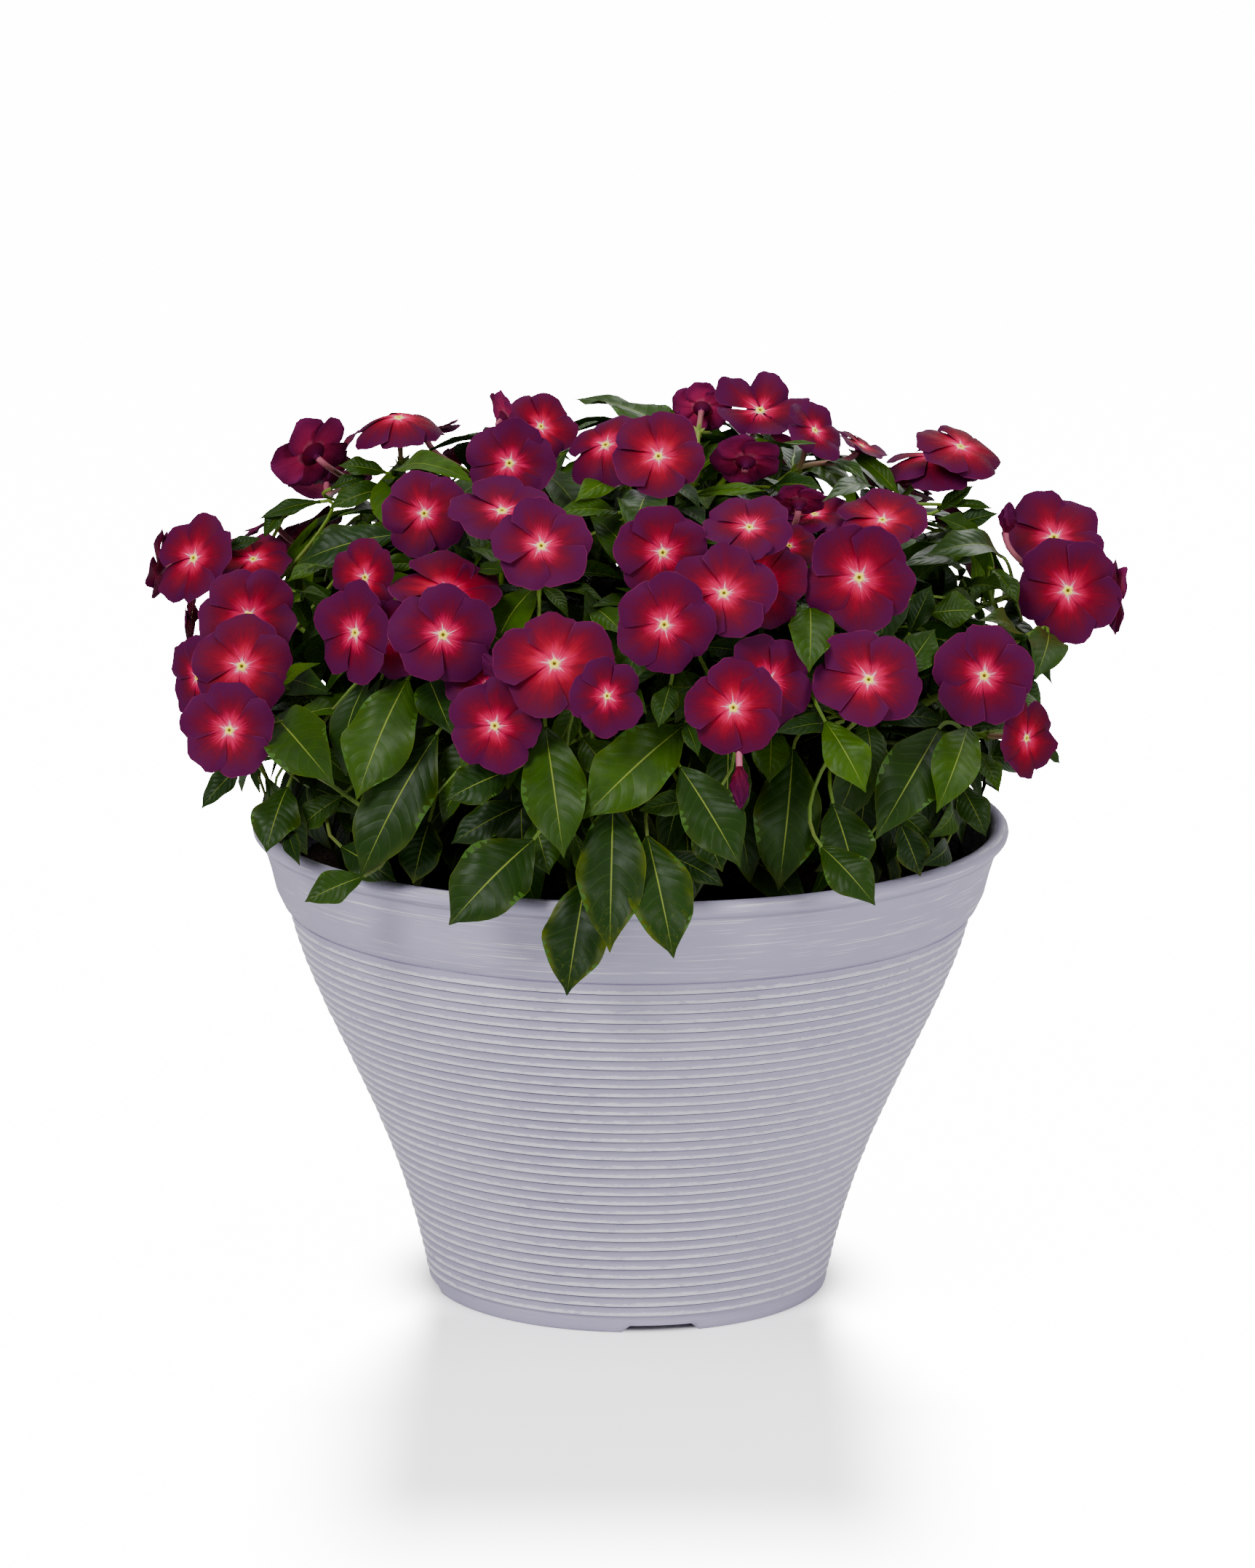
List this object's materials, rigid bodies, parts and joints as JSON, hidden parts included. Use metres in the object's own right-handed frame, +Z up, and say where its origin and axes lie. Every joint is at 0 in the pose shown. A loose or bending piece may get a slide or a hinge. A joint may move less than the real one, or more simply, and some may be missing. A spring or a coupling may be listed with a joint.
{
  "type": "potted flowering plant",
  "caption": "Bushy madagascar periwinkle with dark red blooms and glossy leaves in a wide ribbed grey planter filled with soil.",
  "frame": {"origin": "on the floor under the pot, on the pot's axis", "axes": "+Z up, -Y to the front of the planter, +X to the viewer's right"},
  "size_m": [0.4658, 0.4149, 0.438],
  "materials": {
    "pot": "satin lavender grey, worn pale along the ribs",
    "soil": "crumbly dark potting soil",
    "leaves": "glossy green leaf with a pale midrib",
    "petals": "velvety crimson, darker to the edge, with a pale star round the eye"
  },
  "bodies": {
    "root": {"bloom_back_high_1": "petals", "bloom_back_high_2": "petals", "bloom_back_high_3": "petals", "bloom_back_high_4": "petals", "bloom_back_low_1": "petals", "bloom_back_low_2": "petals", "bloom_back_low_3": "petals", "bloom_back_low_4": "petals", "bloom_back_low_5": "petals", "bloom_back_low_6": "petals", "bloom_back_mid_1": "petals", "bloom_back_mid_2": "petals", "bloom_back_mid_3": "petals", "bloom_back_mid_4": "petals", "bloom_back_mid_5": "petals", "bloom_back_mid_6": "petals", "bloom_brow": "petals", "bloom_cap": "petals", "bloom_cheek": "petals", "bloom_chin": "petals", "bloom_collar": "petals", "bloom_crest": "petals", "bloom_dusk": "petals", "bloom_east": "petals", "bloom_ember": "petals", "bloom_fan": "petals", "bloom_flank": "petals", "bloom_heart": "petals", "bloom_horn": "petals", "bloom_jaw": "petals", "bloom_lamp": "petals", "bloom_ledge": "petals", "bloom_pearl": "petals", "bloom_perch": "petals", "bloom_plume": "petals", "bloom_scarf": "petals", "bloom_shelf": "petals", "bloom_spoke": "petals", "bloom_sun": "petals", "bloom_tail": "petals", "bloom_topleft": "petals", "bloom_tuft": "petals", "bloom_twin": "petals", "bloom_veil": "petals", "bloom_west": "petals", "bloom_wing": "petals", "leafy_stem_1": "leaves", "leafy_stem_10": "leaves", "leafy_stem_11": "leaves", "leafy_stem_2": "leaves", "leafy_stem_3": "leaves", "leafy_stem_4": "leaves", "leafy_stem_5": "leaves", "leafy_stem_6": "leaves", "leafy_stem_7": "leaves", "leafy_stem_8": "leaves", "leafy_stem_9": "leaves", "pot": "pot", "soil": "soil"}
  },
  "joints": []
}
